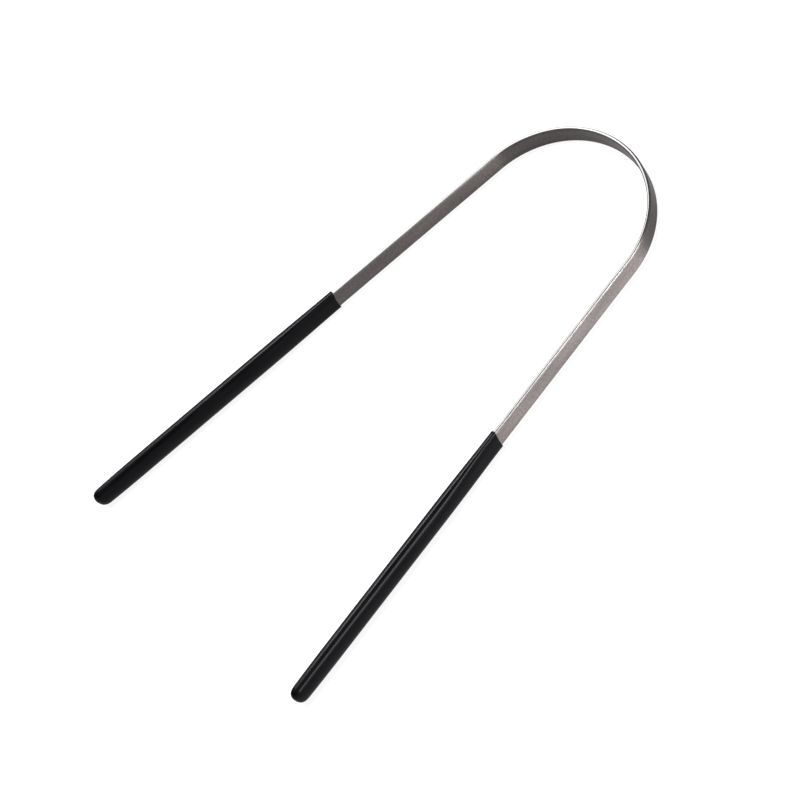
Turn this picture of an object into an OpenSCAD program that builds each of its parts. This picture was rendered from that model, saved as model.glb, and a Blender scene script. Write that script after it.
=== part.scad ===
// Tongue scraper: one flat steel strip bent into a U, with a soft sleeve pushed over the end of each arm.
// It lies on its back: the strip stands on edge, the bend points to +Y and the closed ends of the grips to -Y.
// The origin is at the middle of its footprint, on the surface that it rests on.

/* [Overall] */
// Length from the crown of the bend to the closed ends of the grips
overall_length = 140; // [125:1:160]
// Angle by which each arm leans outwards from the middle line
flare_angle = 7.1; // [3:0.1:11]
// Radius of the bend, measured to the middle of the strip
bend_radius = 23.2; // [18:0.1:28]

/* [Strip] */
// Width of the strip, from one scraping edge to the other
strip_width = 5.5; // [5:0.1:8]
// Thickness of the strip
strip_thickness = 1; // [0.9:0.05:1.4]
// Radius to which the long edges are rounded and polished
edge_radius = 0.4; // [0.15:0.05:0.4]
// Radius of the corners at the strip's two ends, which the grips hide
tail_corner = 1.8; // [0.5:0.1:2]

/* [Grips] */
// Length of a grip, from its mouth to the tip of its closed end
grip_length = 72; // [55:1:84]
// Wall of a grip's body over the edges of the strip
body_edge_wall = 0.4; // [0.35:0.05:1]
// Wall of a grip's body over the faces of the strip
body_face_wall = 1.1; // [0.6:0.05:1.4]
// Wall at the mouth over the edges of the strip
mouth_edge_wall = 0.38; // [0.32:0.02:0.8]
// Wall at the mouth over the faces of the strip
mouth_face_wall = 0.4; // [0.36:0.02:0.8]
// Distance from the end of the strip to the tip of the grip
end_wall = 2; // [1.4:0.1:4]
// Length over which a grip swells from its mouth to its full body
swell_length = 22; // [8:1:28]
// Length over which a grip thins again before its rounded end
taper_length = 14; // [6:1:20]
// Length of the rounded closed end
round_length = 2.4; // [1.6:0.1:3.6]
// How much nearer the bend the upper side of the mouth stands than its middle height
mouth_slant = 0.25; // [0:0.05:0.4]
// Depth by which the rim of the mouth dips over the faces of the strip
mouth_dip = 0.3; // [0:0.05:0.4]
// How much further the upper side of the tip reaches than its middle height
tip_slant = 0.2; // [0:0.05:0.4]
// Radius of the soft outer corner of the mouth
lip_radius = 0.16; // [0.05:0.01:0.2]
// Clearance between the strip and the inside of a grip, on each side
grip_fit = 0.05; // [0.02:0.01:0.1]
// Depth of the narrow flat along the underside of a grip, which the scraper rests on
rest_flat = 0.1; // [0.05:0.01:0.15]

/* [Hidden] */
$fn = 96;

// Length by which a cutting shape passes the surface that it cuts
overrun = 1;

// Power of the oval section: 2 is an ellipse, and a larger one is squarer
body_power = 2.1;
mouth_power = 3;
round_power = 2.4;
// Part of its half thickness and half height that a grip loses along the taper
taper_share = 0.08;
// Share of the half height at which the tip's slant neither lengthens nor shortens a grip
pivot_share = 0.15;

// Points round a grip's section, and rings along each stretch of it
section_points = 44;
lip_rings = 4;
swell_rings = 8;
body_rings = 4;
taper_rings = 5;
round_rings = 9;

// Half height and half thickness of a grip at its body and at its mouth
body_half_height = strip_width / 2 + body_edge_wall;
body_half_thickness = strip_thickness / 2 + body_face_wall;
mouth_half_height = strip_width / 2 + mouth_edge_wall;
mouth_half_thickness = strip_thickness / 2 + mouth_face_wall;

// Places of the bend's centre and of the strip's middle plane
bend_y = overall_length / 2 - bend_radius - strip_thickness / 2;
middle_z = body_half_height - rest_flat;

// Straight run from the end of the bend to the tip of a grip, and the part of it that is steel
arm_length = (overall_length / 2 + bend_y + bend_radius * sin(flare_angle)) / cos(flare_angle);
arm_steel = arm_length - end_wall;

// Signed power, which keeps the sign of the number that it raises
function sign_power(v, p) = sign(v) * pow(abs(v), p);

// What is left of an end's slant at a distance from that end
function fading(distance, reach) = distance < reach ? pow(1 - distance / reach, 2) : 0;

// How far a point is set towards the tip, at distance s from the mouth and share t of the half height
function set_back(s, t) =
    fading(s, swell_length) * (mouth_dip * (1 - t * t) - mouth_slant * t)
    + fading(grip_length - s, taper_length) * tip_slant * (t - pivot_share);

// One ring of the oval section, at distance s from the mouth
function oval_ring(s, half_thickness, half_height, power) = [
    for (j = [0 : section_points - 1])
        let (a = 360 * j / section_points, z = half_height * sign_power(sin(a), 2 / power))
        [half_thickness * sign_power(cos(a), 2 / power), -s - set_back(s, z / body_half_height), z]
];

// How far the grip has swollen, from 0 at its mouth to 1 at its full body
function swell(s) = s < swell_length ? (1 - cos(180 * s / swell_length)) / 2 : 1;

// What is left of the section along the taper, at distance e from the tip
function taper(e) = e < taper_length ? 1 - taper_share * pow(1 - e / taper_length, 2) : 1;

// Half thickness, half height and power of the section at distance s from the mouth
function half_thickness_at(s) =
    taper(grip_length - s)
    * (mouth_half_thickness + (body_half_thickness - mouth_half_thickness) * swell(s));
function half_height_at(s) =
    taper(grip_length - s) * (mouth_half_height + (body_half_height - mouth_half_height) * swell(s));
function power_at(s) = mouth_power + (body_power - mouth_power) * swell(s);

// Distances from the mouth of the rings between two places
function steps(from, to, count) = [for (i = [1 : count]) from + (to - from) * i / count];

// A full ring, a ring on the rounded lip, and a ring on the rounded closed end
function body_ring(s) = oval_ring(s, half_thickness_at(s), half_height_at(s), power_at(s));
function lip_ring(a) =
    let (s = lip_radius * (1 - sin(a)), inset = lip_radius * (1 - cos(a)))
    oval_ring(s, half_thickness_at(s) - inset, half_height_at(s) - inset, power_at(s));
function round_ring(a) =
    let (s = grip_length - round_length * (1 - pow(sin(a), 2 / round_power)))
    let (k = pow(cos(a), 2 / round_power))
    oval_ring(s, k * half_thickness_at(s), k * half_height_at(s), power_at(s));

// Rings of the whole grip, from its mouth to its tip
grip_rings = concat(
    [for (i = [0 : lip_rings]) lip_ring(90 * (1 - i / lip_rings))],
    [for (s = steps(lip_radius, swell_length, swell_rings)) body_ring(s)],
    [for (s = steps(swell_length, grip_length - taper_length, body_rings)) body_ring(s)],
    [for (s = steps(grip_length - taper_length, grip_length - round_length, taper_rings)) body_ring(s)],
    [for (i = [1 : round_rings]) round_ring(88 * i / round_rings)]
);

// A closed skin over a list of rings, with a flat cap at each end
module loft(rings) {
    n = section_points;
    last = len(rings) - 1;
    polyhedron(
        points = [for (ring = rings) for (point = ring) point],
        faces = concat(
            [[for (j = [0 : n - 1]) j]],
            [
                for (i = [0 : last - 1])
                    for (j = [0 : n - 1])
                        for (half = [0, 1])
                            let (a = i * n + j, b = i * n + (j + 1) % n)
                            half == 0 ? [a, a + n, b] : [b, a + n, b + n]
            ],
            [[for (j = [n - 1 : -1 : 0]) last * n + j]]
        )
    );
}

// Rounded rectangle in two directions of its own, grown by the same amount all round
module rounded_outline(size_x, size_y, radius) {
    square([size_x, size_y - 2 * radius], center = true);
    square([size_x - 2 * radius, size_y], center = true);
    for (x = [-1, 1], y = [-1, 1])
        translate([x * (size_x / 2 - radius), y * (size_y / 2 - radius)])
            circle(radius);
}

// Cross-section of the strip: thickness along x and width along y
module strip_section(grow) {
    rounded_outline(strip_thickness + 2 * grow, strip_width + 2 * grow, edge_radius + grow);
}

// Straight bar of the strip's section that runs along -Y, with rounded corners at its far end
module straight_bar(length, grow) {
    intersection() {
        rotate([90, 0, 0])
            linear_extrude(height = length)
                strip_section(grow);
        rotate([90, 0, -90])
            linear_extrude(height = strip_thickness + 2 * overrun, center = true)
                rounded_outline(2 * length, strip_width + 2 * grow, tail_corner + grow);
    }
}

// Frame of one side: it turns about the centre of the bend until its arm runs along -Y
module on_side(side) {
    translate([0, bend_y, middle_z])
        mirror([(1 - side) / 2, 0, 0])
            rotate([0, 0, flare_angle])
                children();
}

// Half of the strip: a quarter turn that goes on past the crown, and the arm that leaves it at a tangent
module half_strip() {
    rotate_extrude(angle = 90)
        translate([bend_radius, 0])
            strip_section(0);
    translate([bend_radius, 0, 0])
        straight_bar(arm_steel, 0);
}

// The strip: its two halves lie over each other at the crown and are one piece of steel
module scraper_strip() {
    color([0.66, 0.64, 0.63])
        for (side = [-1, 1])
            on_side(side)
                half_strip();
}

// A grip: an oval sleeve, closed and rounded at its tip, with a slot that fits the strip
module grip(side) {
    color([0.05, 0.05, 0.055])
        on_side(side)
            translate([bend_radius, grip_length - arm_length, 0])
                difference() {
                    loft(grip_rings);
                    translate([0, overrun, 0])
                        straight_bar(grip_length - end_wall + overrun + grip_fit, grip_fit);
                    translate([-body_half_thickness - overrun, -grip_length - overrun, -body_half_height - overrun])
                        cube([2 * (body_half_thickness + overrun), grip_length + 2 * overrun, rest_flat + overrun]);
                }
}

module left_grip() {
    grip(-1);
}

module right_grip() {
    grip(1);
}

scraper_strip();
left_grip();
right_grip();
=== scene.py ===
import math

import bmesh
import bpy
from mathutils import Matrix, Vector


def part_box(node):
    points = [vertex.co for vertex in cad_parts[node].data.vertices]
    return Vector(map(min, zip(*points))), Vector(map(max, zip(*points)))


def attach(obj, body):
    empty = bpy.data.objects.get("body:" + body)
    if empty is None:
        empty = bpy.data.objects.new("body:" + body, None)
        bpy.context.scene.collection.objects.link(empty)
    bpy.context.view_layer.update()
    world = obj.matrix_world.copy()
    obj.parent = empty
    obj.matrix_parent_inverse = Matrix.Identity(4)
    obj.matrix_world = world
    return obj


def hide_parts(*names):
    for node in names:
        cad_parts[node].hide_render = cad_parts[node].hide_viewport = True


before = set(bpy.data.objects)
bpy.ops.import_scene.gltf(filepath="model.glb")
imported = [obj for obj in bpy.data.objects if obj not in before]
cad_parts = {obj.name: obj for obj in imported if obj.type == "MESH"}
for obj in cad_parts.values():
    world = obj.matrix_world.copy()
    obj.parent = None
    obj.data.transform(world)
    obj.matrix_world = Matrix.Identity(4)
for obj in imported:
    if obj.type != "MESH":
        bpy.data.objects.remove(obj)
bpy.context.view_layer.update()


# The scraper strip is one flat ribbon of stainless steel, bent round a former into a U with arms that lean
# outwards. A belt leaves its faces satin, and a soft wheel buffs its rounded edges bright for the tongue. The
# satin is painted dark as a painted reflection, and a band beside the buffed edges is painted lighter as a
# painted highlight. Its two tails are cut round and end inside the grips.
strip_low, strip_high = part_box("scraper_strip")
strip_half_width = (strip_high.z - strip_low.z) / 2
strip_middle_z = (strip_high.z + strip_low.z) / 2
strip_half_thickness = 0.0005
edge_radius = 0.0004
tail_corner = 0.0018
bend_radius = 0.0232
arm_lean = math.radians(7.1)
bend_centre_y = strip_high.y - bend_radius - strip_half_thickness
inner_side = bend_radius - strip_half_thickness
arm_steel = (bend_centre_y + inner_side * math.sin(arm_lean) - strip_low.y) / math.cos(arm_lean)

# The buffed edge is an ellipse. Where its surface tilts this far from the face, the band of painted highlight
# begins, and then the buffed finish
edge_depth = 0.0005
edge_rise = 0.0007
painted_highlight_tilt = math.radians(22)
buffed_tilt = math.radians(49)

# Distance from the ellipse to the first points of the flat face
face_margin = 0.00006

edge_steps = 16
bend_steps = 120
arm_steps = 40
tail_steps = 6


def steps_between(start, end, count):
    """Evenly spaced values from start to end, with both of them."""
    return [start + (end - start) * i / count for i in range(count + 1)]


def ribbon_outline():
    """Section of the ribbon as (outwards, upwards, finish): 0 is satin, 1 is satin with a painted highlight
    and 2 is buffed.
    """
    flat_out = strip_half_thickness - edge_depth
    flat_up = strip_half_width - edge_rise
    half_step = 90 / edge_steps / 2
    outline = []
    for turn, side_out, side_up in ((0, 1, 1), (90, -1, 1), (180, -1, -1), (270, 1, -1)):
        # Two corners share the crest of each edge, so the second one leaves out its first point
        second_corner = turn in (90, 270)
        corner = steps_between(turn, turn + 90, edge_steps)
        for degrees in corner[1:] if second_corner else corner:
            angle = math.radians(degrees)
            middle = math.radians(degrees + half_step)
            tilt = math.atan2(abs(math.sin(middle)) * edge_depth, abs(math.cos(middle)) * edge_rise)
            out = side_out * flat_out + edge_depth * math.cos(angle)
            up = side_up * flat_up + edge_rise * math.sin(angle)
            outline.append((out, up, (tilt > painted_highlight_tilt) + (tilt > buffed_tilt)))
        if second_corner:
            for way in (1, -1):
                outline.append((side_out * strip_half_thickness, way * side_up * (flat_up - face_margin), 0))
    return outline


def spot_on_arm(side, out, down, up):
    """A point beside an arm: so far out from its middle line, down from the bend, and up."""
    return Vector((
        side * ((bend_radius + out) * math.cos(arm_lean) + down * math.sin(arm_lean)),
        bend_centre_y + (bend_radius + out) * math.sin(arm_lean) - down * math.cos(arm_lean),
        strip_middle_z + up,
    ))


def spot_on_bend(angle, out, up):
    """A point beside the bend, at an angle about its centre."""
    reach = bend_radius + out
    return Vector((reach * math.cos(angle), bend_centre_y + reach * math.sin(angle), strip_middle_z + up))


def skin_over(name, rings, along, around):
    """A closed skin over rings of points, with a map in metres from its lengths along and around."""
    count = len(rings[0])
    faces = []
    for i in range(len(rings) - 1):
        for j in range(count):
            k = (j + 1) % count
            faces.append((i * count + j, i * count + k, (i + 1) * count + k, (i + 1) * count + j))
    faces.append(tuple(range(count)))
    faces.append(tuple(range((len(rings) - 1) * count, len(rings) * count)))
    mesh = bpy.data.meshes.new(name)
    mesh.from_pydata([point for ring in rings for point in ring], [], faces)
    grain = mesh.uv_layers.new(name="grain")
    for face in mesh.polygons[:-2]:
        i, j = divmod(face.index, count)
        corners = ((i, j), (i, j + 1), (i + 1, j + 1), (i + 1, j))
        for loop, (ring, point) in zip(face.loop_indices, corners):
            grain.data[loop].uv = (around[point], along[ring])
    mesh.polygons.foreach_set("use_smooth", [True] * len(mesh.polygons))
    build = bmesh.new()
    build.from_mesh(mesh)
    bmesh.ops.recalc_face_normals(build, faces=build.faces)
    build.to_mesh(mesh)
    build.free()
    piece = bpy.data.objects.new(name, mesh)
    bpy.context.scene.collection.objects.link(piece)
    return piece


def middles_of(rings):
    """The middle point of each ring."""
    return [sum(ring, Vector()) / len(ring) for ring in rings]


def lengths_along(points):
    """Running length of a line of points, from zero at the first."""
    total = [0.0]
    for a, b in zip(points, points[1:]):
        total.append(total[-1] + (b - a).length)
    return total


outline = ribbon_outline()
bend_angles = steps_between(math.pi - arm_lean, arm_lean, bend_steps)
arm_end = arm_steel - tail_corner

# The round cut of a tail, as (distance from its end, drop of its upper and lower edges)
tail_angles = [math.radians(d) for d in steps_between(90, 0, tail_steps)]
tail = [(tail_corner * (1 - math.sin(a)), tail_corner * (1 - math.cos(a))) for a in tail_angles]

# Stations along the strip from the left tail to the right, as (kind, side, place, drop)
stations = [("arm", -1, arm_steel - inset, drop) for inset, drop in tail]
stations += [("arm", -1, down, 0) for down in steps_between(arm_end, 0, arm_steps)[1:]]
stations += [("bend", 0, angle, 0) for angle in bend_angles[1:]]
stations += [("arm", 1, down, 0) for down in steps_between(0, arm_end, arm_steps)[1:]]
stations += [("arm", 1, arm_steel - inset, drop) for inset, drop in reversed(tail[:-1])]


def ring_at(station):
    """The ribbon's section, set across the strip at one station of its length."""
    kind, side, place, drop = station
    points = []
    for out, up, _ in outline:
        lowered = math.copysign(abs(up) - drop, up)
        if kind == "arm":
            points.append(spot_on_arm(side, out, place, lowered))
        else:
            points.append(spot_on_bend(place, out, lowered))
    return points


rings = [ring_at(station) for station in stations]
section = [Vector((out, up, 0)) for out, up, _ in outline]
around = lengths_along(section + section[:1])
strip = skin_over("steel_strip", rings, lengths_along(middles_of(rings)), around)

# Parts of a noise's range that a roughness and a tone are spread over
value_range = (0.3, 0.7)
tone_range = (0.32, 0.68)


def new_finish(name):
    """A new material, its main shader, and functions that add a node with its settings and link two."""
    finish = bpy.data.materials.new(name)
    finish.use_nodes = True
    shader = finish.node_tree.nodes["Principled BSDF"]

    def add(kind, **settings):
        node = finish.node_tree.nodes.new(kind)
        for key, value in settings.items():
            if key in node.inputs:
                node.inputs[key].default_value = value
            else:
                setattr(node, key, value)
        return node

    return finish, shader, add, finish.node_tree.links.new


def long_noise(add, link, across, lengthwise, detail):
    """Noise drawn out along a piece: so many cells to a metre across it and lengthwise."""
    place = add("ShaderNodeUVMap", uv_map="grain")
    stretch = add("ShaderNodeMapping", Scale=(across, lengthwise, 1))
    noise = add("ShaderNodeTexNoise", Scale=1, Detail=detail)
    link(place.outputs["UV"], stretch.inputs["Vector"])
    link(stretch.outputs["Vector"], noise.inputs["Vector"])
    return noise.outputs["Fac"]


def mapped(add, link, value, low, high):
    """The middle of a noise's range, spread from a low value to a high one."""
    spread = add("ShaderNodeMapRange")
    spread.inputs["From Min"].default_value = value_range[0]
    spread.inputs["From Max"].default_value = value_range[1]
    spread.inputs["To Min"].default_value = low
    spread.inputs["To Max"].default_value = high
    link(value, spread.inputs["Value"])
    return spread.outputs["Result"]


def toned(add, link, value, dark, light):
    """Two tones mixed by a noise."""
    ramp = add("ShaderNodeValToRGB")
    for stop, position, tone in zip(ramp.color_ramp.elements, tone_range, (dark, light)):
        stop.position = position
        stop.color = (*tone, 1)
    link(value, ramp.inputs["Fac"])
    return ramp.outputs["Color"]


def satin_finish(name, dark, light):
    """Belt-ground steel between two tones that carry painted light, with its lines and its grain along the
    strip.
    """
    finish, shader, add, link = new_finish(name)
    shader.inputs["Metallic"].default_value = 1
    shader.inputs["Anisotropic"].default_value = 0.9
    cloud = long_noise(add, link, across=260, lengthwise=45, detail=3)
    specks = long_noise(add, link, across=2600, lengthwise=1900, detail=2)
    lines = long_noise(add, link, across=14000, lengthwise=160, detail=3)
    cloud_share = 0.4
    mottle = add("ShaderNodeMath", operation="MULTIPLY_ADD")
    link(cloud, mottle.inputs[0])
    mottle.inputs[1].default_value = cloud_share
    faint_specks = add("ShaderNodeMath", operation="MULTIPLY")
    link(specks, faint_specks.inputs[0])
    faint_specks.inputs[1].default_value = 1 - cloud_share
    link(faint_specks.outputs[0], mottle.inputs[2])
    link(toned(add, link, mottle.outputs[0], dark, light), shader.inputs["Base Color"])
    link(mapped(add, link, lines, low=0.35, high=0.49), shader.inputs["Roughness"])
    across_strip = add("ShaderNodeTangent", direction_type="UV_MAP", uv_map="grain")
    link(across_strip.outputs["Tangent"], shader.inputs["Tangent"])
    relief = add("ShaderNodeBump", Strength=0.25, Distance=0.00001)
    link(lines, relief.inputs["Height"])
    link(relief.outputs["Normal"], shader.inputs["Normal"])
    return finish


def buffed_finish():
    """Bright steel with faint polishing lines along the strip."""
    finish, shader, add, link = new_finish("buffed_edge")
    shader.inputs["Metallic"].default_value = 1
    cloud = long_noise(add, link, across=900, lengthwise=90, detail=3)
    lines = long_noise(add, link, across=9000, lengthwise=220, detail=2)
    tones = toned(add, link, cloud, dark=(0.66, 0.645, 0.63), light=(0.74, 0.73, 0.72))
    link(tones, shader.inputs["Base Color"])
    link(mapped(add, link, lines, low=0.12, high=0.20), shader.inputs["Roughness"])
    return finish


# The satin tones are painted dark: a painted dark reflection, much darker than bare steel
satin = satin_finish("satin_steel", dark=(0.046, 0.040, 0.039), light=(0.114, 0.101, 0.099))
# Lighter satin tones: a painted highlight that brightens the line reflected beside the buffed edges
painted_highlight_satin = satin_finish("painted_highlight_satin", dark=(0.084, 0.078, 0.078), light=(0.146, 0.138, 0.138))
for finish in (satin, painted_highlight_satin, buffed_finish()):
    strip.data.materials.append(finish)
for face in strip.data.polygons[:-2]:
    face.material_index = outline[face.index % len(outline)][2]
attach(strip, "root")
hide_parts("scraper_strip")


# A grip is a sleeve of soft black vinyl with a thin gloss, dipped over a former of its own shape. Pushed on
# to an arm, it holds by its own stretch. It is thinnest at its mouth, swells to an oval body and thins again
# before its rounded, closed tip. The table presses a narrow stretch of its underside flat.
grip_length = 0.072
end_wall = 0.002
body_wall_above = 0.0004
body_wall_beside = 0.0011
mouth_wall_above = 0.00038
mouth_wall_beside = 0.0004
body_half_height = strip_half_width + body_wall_above
body_half_thickness = strip_half_thickness + body_wall_beside
mouth_half_height = strip_half_width + mouth_wall_above
mouth_half_thickness = strip_half_thickness + mouth_wall_beside
swell_length = 0.022
taper_length = 0.014
taper_share = 0.08
round_length = 0.0024
lip_radius = 0.00016
rim_radius = 0.00008
grip_fit = 0.00005
body_power = 2.1
mouth_power = 3
round_power = 2.4
mouth_slant = 0.00025
mouth_dip = 0.0003
tip_slant = 0.0002
pivot_share = 0.15
mouth_down = arm_steel + end_wall - grip_length

# Share of the mouth's half thickness over which the slot's outline closes at its upper and lower ends
closing_share = 0.3

# Distances from the mouth of the rings inside the slot, from its end towards its rim
slot_places = (grip_length - end_wall + grip_fit, grip_length / 2, 0.004, 0.001)

# Degrees through which the slot's rim, the mouth's lip and the closed tip turn
rim_turn = 75
lip_turn = 80
tip_turn = 89

grip_points = 96
rim_steps = 3
lip_steps = 5
swell_steps = 22
body_steps = 18
taper_steps = 12
tip_steps = 22


def signed_power(value, power):
    """A power that keeps the sign of its number."""
    return math.copysign(abs(value) ** power, value)


def swell_at(s):
    """How far a grip has swollen at a distance from its mouth, from 0 to 1."""
    return (1 - math.cos(math.pi * s / swell_length)) / 2 if s < swell_length else 1


def oval(s, inset=0, share=1):
    """A grip's outer section as (outwards, upwards) points at a distance s from its mouth."""
    left = grip_length - s
    taper = 1 - taper_share * (1 - left / taper_length) ** 2 if left < taper_length else 1
    swell = swell_at(s)
    half_out = taper * (mouth_half_thickness + (body_half_thickness - mouth_half_thickness) * swell) - inset
    half_up = taper * (mouth_half_height + (body_half_height - mouth_half_height) * swell) - inset
    power = 2 / (mouth_power + (body_power - mouth_power) * swell)
    points = []
    for j in range(grip_points):
        a = 2 * math.pi * j / grip_points
        out = share * half_out * signed_power(math.cos(a), power)
        up = share * half_up * signed_power(math.sin(a), power)
        points.append((out, up))
    return points


def fading(distance, reach):
    """What is left of an end's slant at a distance from that end."""
    return (1 - distance / reach) ** 2 if distance < reach else 0


def set_back(s, share, outside):
    """How far a point is set towards the tip, at a distance from the mouth and a share of the half height."""
    at_mouth = fading(s, swell_length) * (mouth_dip * (1 - share * share) - mouth_slant * share)
    at_tip = fading(grip_length - s, taper_length) * tip_slant * (share - pivot_share)
    return at_mouth + at_tip if outside else at_mouth


def slot_outline(grow):
    """The strip's own section, grown a little, with a point for each point of the oval round it."""
    half_out = strip_half_thickness + grow
    half_up = strip_half_width + grow
    corner = edge_radius + grow
    points = []
    for out, up in oval(0):
        height = half_up * up / mouth_half_height
        past = max(0, abs(height) - (half_up - corner))
        reach = half_out - corner + math.sqrt(max(0, corner ** 2 - past ** 2))
        closing = min(1, abs(out) / (closing_share * mouth_half_thickness))
        points.append((math.copysign(reach * closing, out), height))
    return points


def grip_rings():
    """Rings of a grip from the slot's end to the tip, as (distance from the mouth, section, outside)."""
    slot = slot_outline(grip_fit)
    rings = [(s, slot, False) for s in slot_places]
    for degrees in steps_between(0, rim_turn, rim_steps):
        a = math.radians(degrees)
        s = rim_radius * (1 - math.sin(a))
        rings.append((s, slot_outline(grip_fit + rim_radius * (1 - math.cos(a))), False))
    for degrees in steps_between(lip_turn, 0, lip_steps):
        a = math.radians(degrees)
        s = lip_radius * (1 - math.sin(a))
        rings.append((s, oval(s, inset=lip_radius * (1 - math.cos(a))), True))
    for start, end, count in (
        (lip_radius, swell_length, swell_steps),
        (swell_length, grip_length - taper_length, body_steps),
        (grip_length - taper_length, grip_length - round_length, taper_steps),
    ):
        rings += [(s, oval(s), True) for s in steps_between(start, end, count)[1:]]
    for degrees in steps_between(0, tip_turn, tip_steps)[1:]:
        a = math.radians(degrees)
        s = grip_length - round_length * (1 - math.sin(a) ** (2 / round_power))
        rings.append((s, oval(s, share=math.cos(a) ** (2 / round_power)), True))
    return rings


def vinyl_finish():
    """Black vinyl with a thin gloss over a rougher body, slightly hazy and dimpled."""
    finish, shader, add, link = new_finish("black_vinyl")
    shader.inputs["Specular IOR Level"].default_value = 0.026
    shader.inputs["Specular Tint"].default_value = (0.98, 0.93, 1.0, 1)
    shader.inputs["Coat Weight"].default_value = 0.034
    shader.inputs["Coat Roughness"].default_value = 0.16
    haze = long_noise(add, link, across=700, lengthwise=120, detail=4)
    dimples = long_noise(add, link, across=1600, lengthwise=900, detail=2)
    tones = toned(add, link, haze, dark=(0.0008, 0.0007, 0.0010), light=(0.0018, 0.0016, 0.0020))
    link(tones, shader.inputs["Base Color"])
    link(mapped(add, link, haze, low=0.30, high=0.36), shader.inputs["Roughness"])
    relief = add("ShaderNodeBump", Strength=0.04, Distance=0.00003)
    link(dimples, relief.inputs["Height"])
    link(relief.outputs["Normal"], shader.inputs["Normal"])
    return finish


vinyl = vinyl_finish()
for side, name in ((-1, "left_grip"), (1, "right_grip")):
    rings = []
    for s, section, outside in grip_rings():
        ring = [
            spot_on_arm(side, out, mouth_down + s + set_back(s, up / body_half_height, outside), up)
            for out, up in section
        ]
        rings.append([Vector((p.x, p.y, max(p.z, 0))) for p in ring])
    body = [Vector((out, up, 0)) for out, up in oval(swell_length)]
    around = lengths_along(body + body[:1])
    sleeve = skin_over(name + "_sleeve", rings, lengths_along(middles_of(rings)), around)
    sleeve.data.materials.append(vinyl)
    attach(sleeve, "root")
    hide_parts(name)


# The table is one wide sheet of white board. It shows white to the camera and in the steel and the vinyl,
# and it still takes the scraper's soft shadow.
board_half = 1.5
paper_tone = 0.15
paper_glow = 0.86


def paper_finish():
    """Matt paper that glows white to the camera and in reflections, and is lit softly otherwise."""
    finish, shader, add, link = new_finish("white_paper")
    shader.inputs["Base Color"].default_value = (paper_tone, paper_tone, paper_tone, 1)
    shader.inputs["Roughness"].default_value = 0.9
    shader.inputs["Specular IOR Level"].default_value = 0
    path = add("ShaderNodeLightPath")
    shown = path.outputs["Is Camera Ray"]
    for ray in ("Is Glossy Ray", "Is Transmission Ray"):
        either = add("ShaderNodeMath", operation="MAXIMUM")
        link(shown, either.inputs[0])
        link(path.outputs[ray], either.inputs[1])
        shown = either.outputs[0]
    glow = add("ShaderNodeMath", operation="MULTIPLY")
    link(shown, glow.inputs[0])
    glow.inputs[1].default_value = paper_glow
    shader.inputs["Emission Color"].default_value = (1, 1, 1, 1)
    link(glow.outputs[0], shader.inputs["Emission Strength"])
    return finish


board = bpy.data.objects.new("white_board", bpy.data.meshes.new("white_board"))
board_corners = [(x * board_half, y * board_half, 0) for x, y in ((-1, -1), (1, -1), (1, 1), (-1, 1))]
board.data.from_pydata(board_corners, [], [(0, 1, 2, 3)])
bpy.context.scene.collection.objects.link(board)
board.data.materials.append(paper_finish())


# The light is soft and plain. The buffed edges mirror four windows overhead, and a low one on the left, as
# white. Two small ones low on the right are for the outer face of the right arm and the soft band on its
# grip. Two strong ones draw the line along the top of each grip, and the steel doesn't take their light.
watts_per_square_metre = 4
room_light = 0.06


def soft_window(name, azimuth, height_angle, distance, size, level):
    """A rectangular window of light that faces the scraper, from a direction given in degrees."""
    lamp = bpy.data.lights.new(name, "AREA")
    lamp.shape = "RECTANGLE"
    lamp.size, lamp.size_y = size
    lamp.energy = level * watts_per_square_metre * size[0] * size[1]
    window = bpy.data.objects.new(name, lamp)
    a, e = math.radians(azimuth), math.radians(height_angle)
    towards = Vector((math.cos(e) * math.cos(a), math.cos(e) * math.sin(a), math.sin(e)))
    window.location = towards * distance
    window.rotation_euler = towards.to_track_quat("Z", "Y").to_euler()
    bpy.context.scene.collection.objects.link(window)
    return window


soft_window("far_window", azimuth=187, height_angle=50, distance=0.8, size=(1.46, 0.62), level=1.1)
soft_window("low_window", azimuth=198, height_angle=19, distance=0.8, size=(0.34, 0.28), level=0.75)
soft_window("side_window", azimuth=-90, height_angle=75, distance=0.9, size=(1.2, 0.66), level=1.1)
soft_window("back_window", azimuth=105, height_angle=75, distance=0.9, size=(0.6, 0.3), level=1.1)
soft_window("near_window", azimuth=0.5, height_angle=49, distance=0.9, size=(0.165, 0.28), level=1.1)
soft_window("arm_window", azimuth=29, height_angle=5, distance=0.8, size=(0.32, 0.13), level=75)
soft_window("grip_window", azimuth=8, height_angle=7, distance=0.8, size=(0.26, 0.20), level=25.5)

grips_and_board = bpy.data.collections.new("grips_and_board")
for name in ("left_grip_sleeve", "right_grip_sleeve", "white_board"):
    grips_and_board.objects.link(bpy.data.objects[name])
for line_window in (
    soft_window("left_line", azimuth=188.5, height_angle=44, distance=0.8, size=(0.22, 0.24), level=15),
    soft_window("top_line", azimuth=169, height_angle=76.7, distance=0.8, size=(0.2, 0.24), level=68),
):
    line_window.light_linking.receiver_collection = grips_and_board

world = bpy.data.worlds.new("studio_room")
world.use_nodes = True
world.node_tree.nodes["Background"].inputs["Color"].default_value = (1, 1, 1, 1)
world.node_tree.nodes["Background"].inputs["Strength"].default_value = room_light
bpy.context.scene.world = world


# The camera looks down from the right of the grips with a long lens, and it is turned so that the bend is at
# the top right.
camera_place = (0.37366, -0.04904, 0.53899)
camera_turn = (27.795, 21.872, 48.184)
lens_length = 131.99
sensor_width = 36
view = bpy.data.cameras.new("camera")
view.lens = lens_length
view.sensor_width = sensor_width
camera = bpy.data.objects.new("camera", view)
camera.location = camera_place
camera.rotation_euler = [math.radians(turn) for turn in camera_turn]
bpy.context.scene.collection.objects.link(camera)
bpy.context.scene.camera = camera
bpy.context.scene.view_settings.view_transform = "Standard"
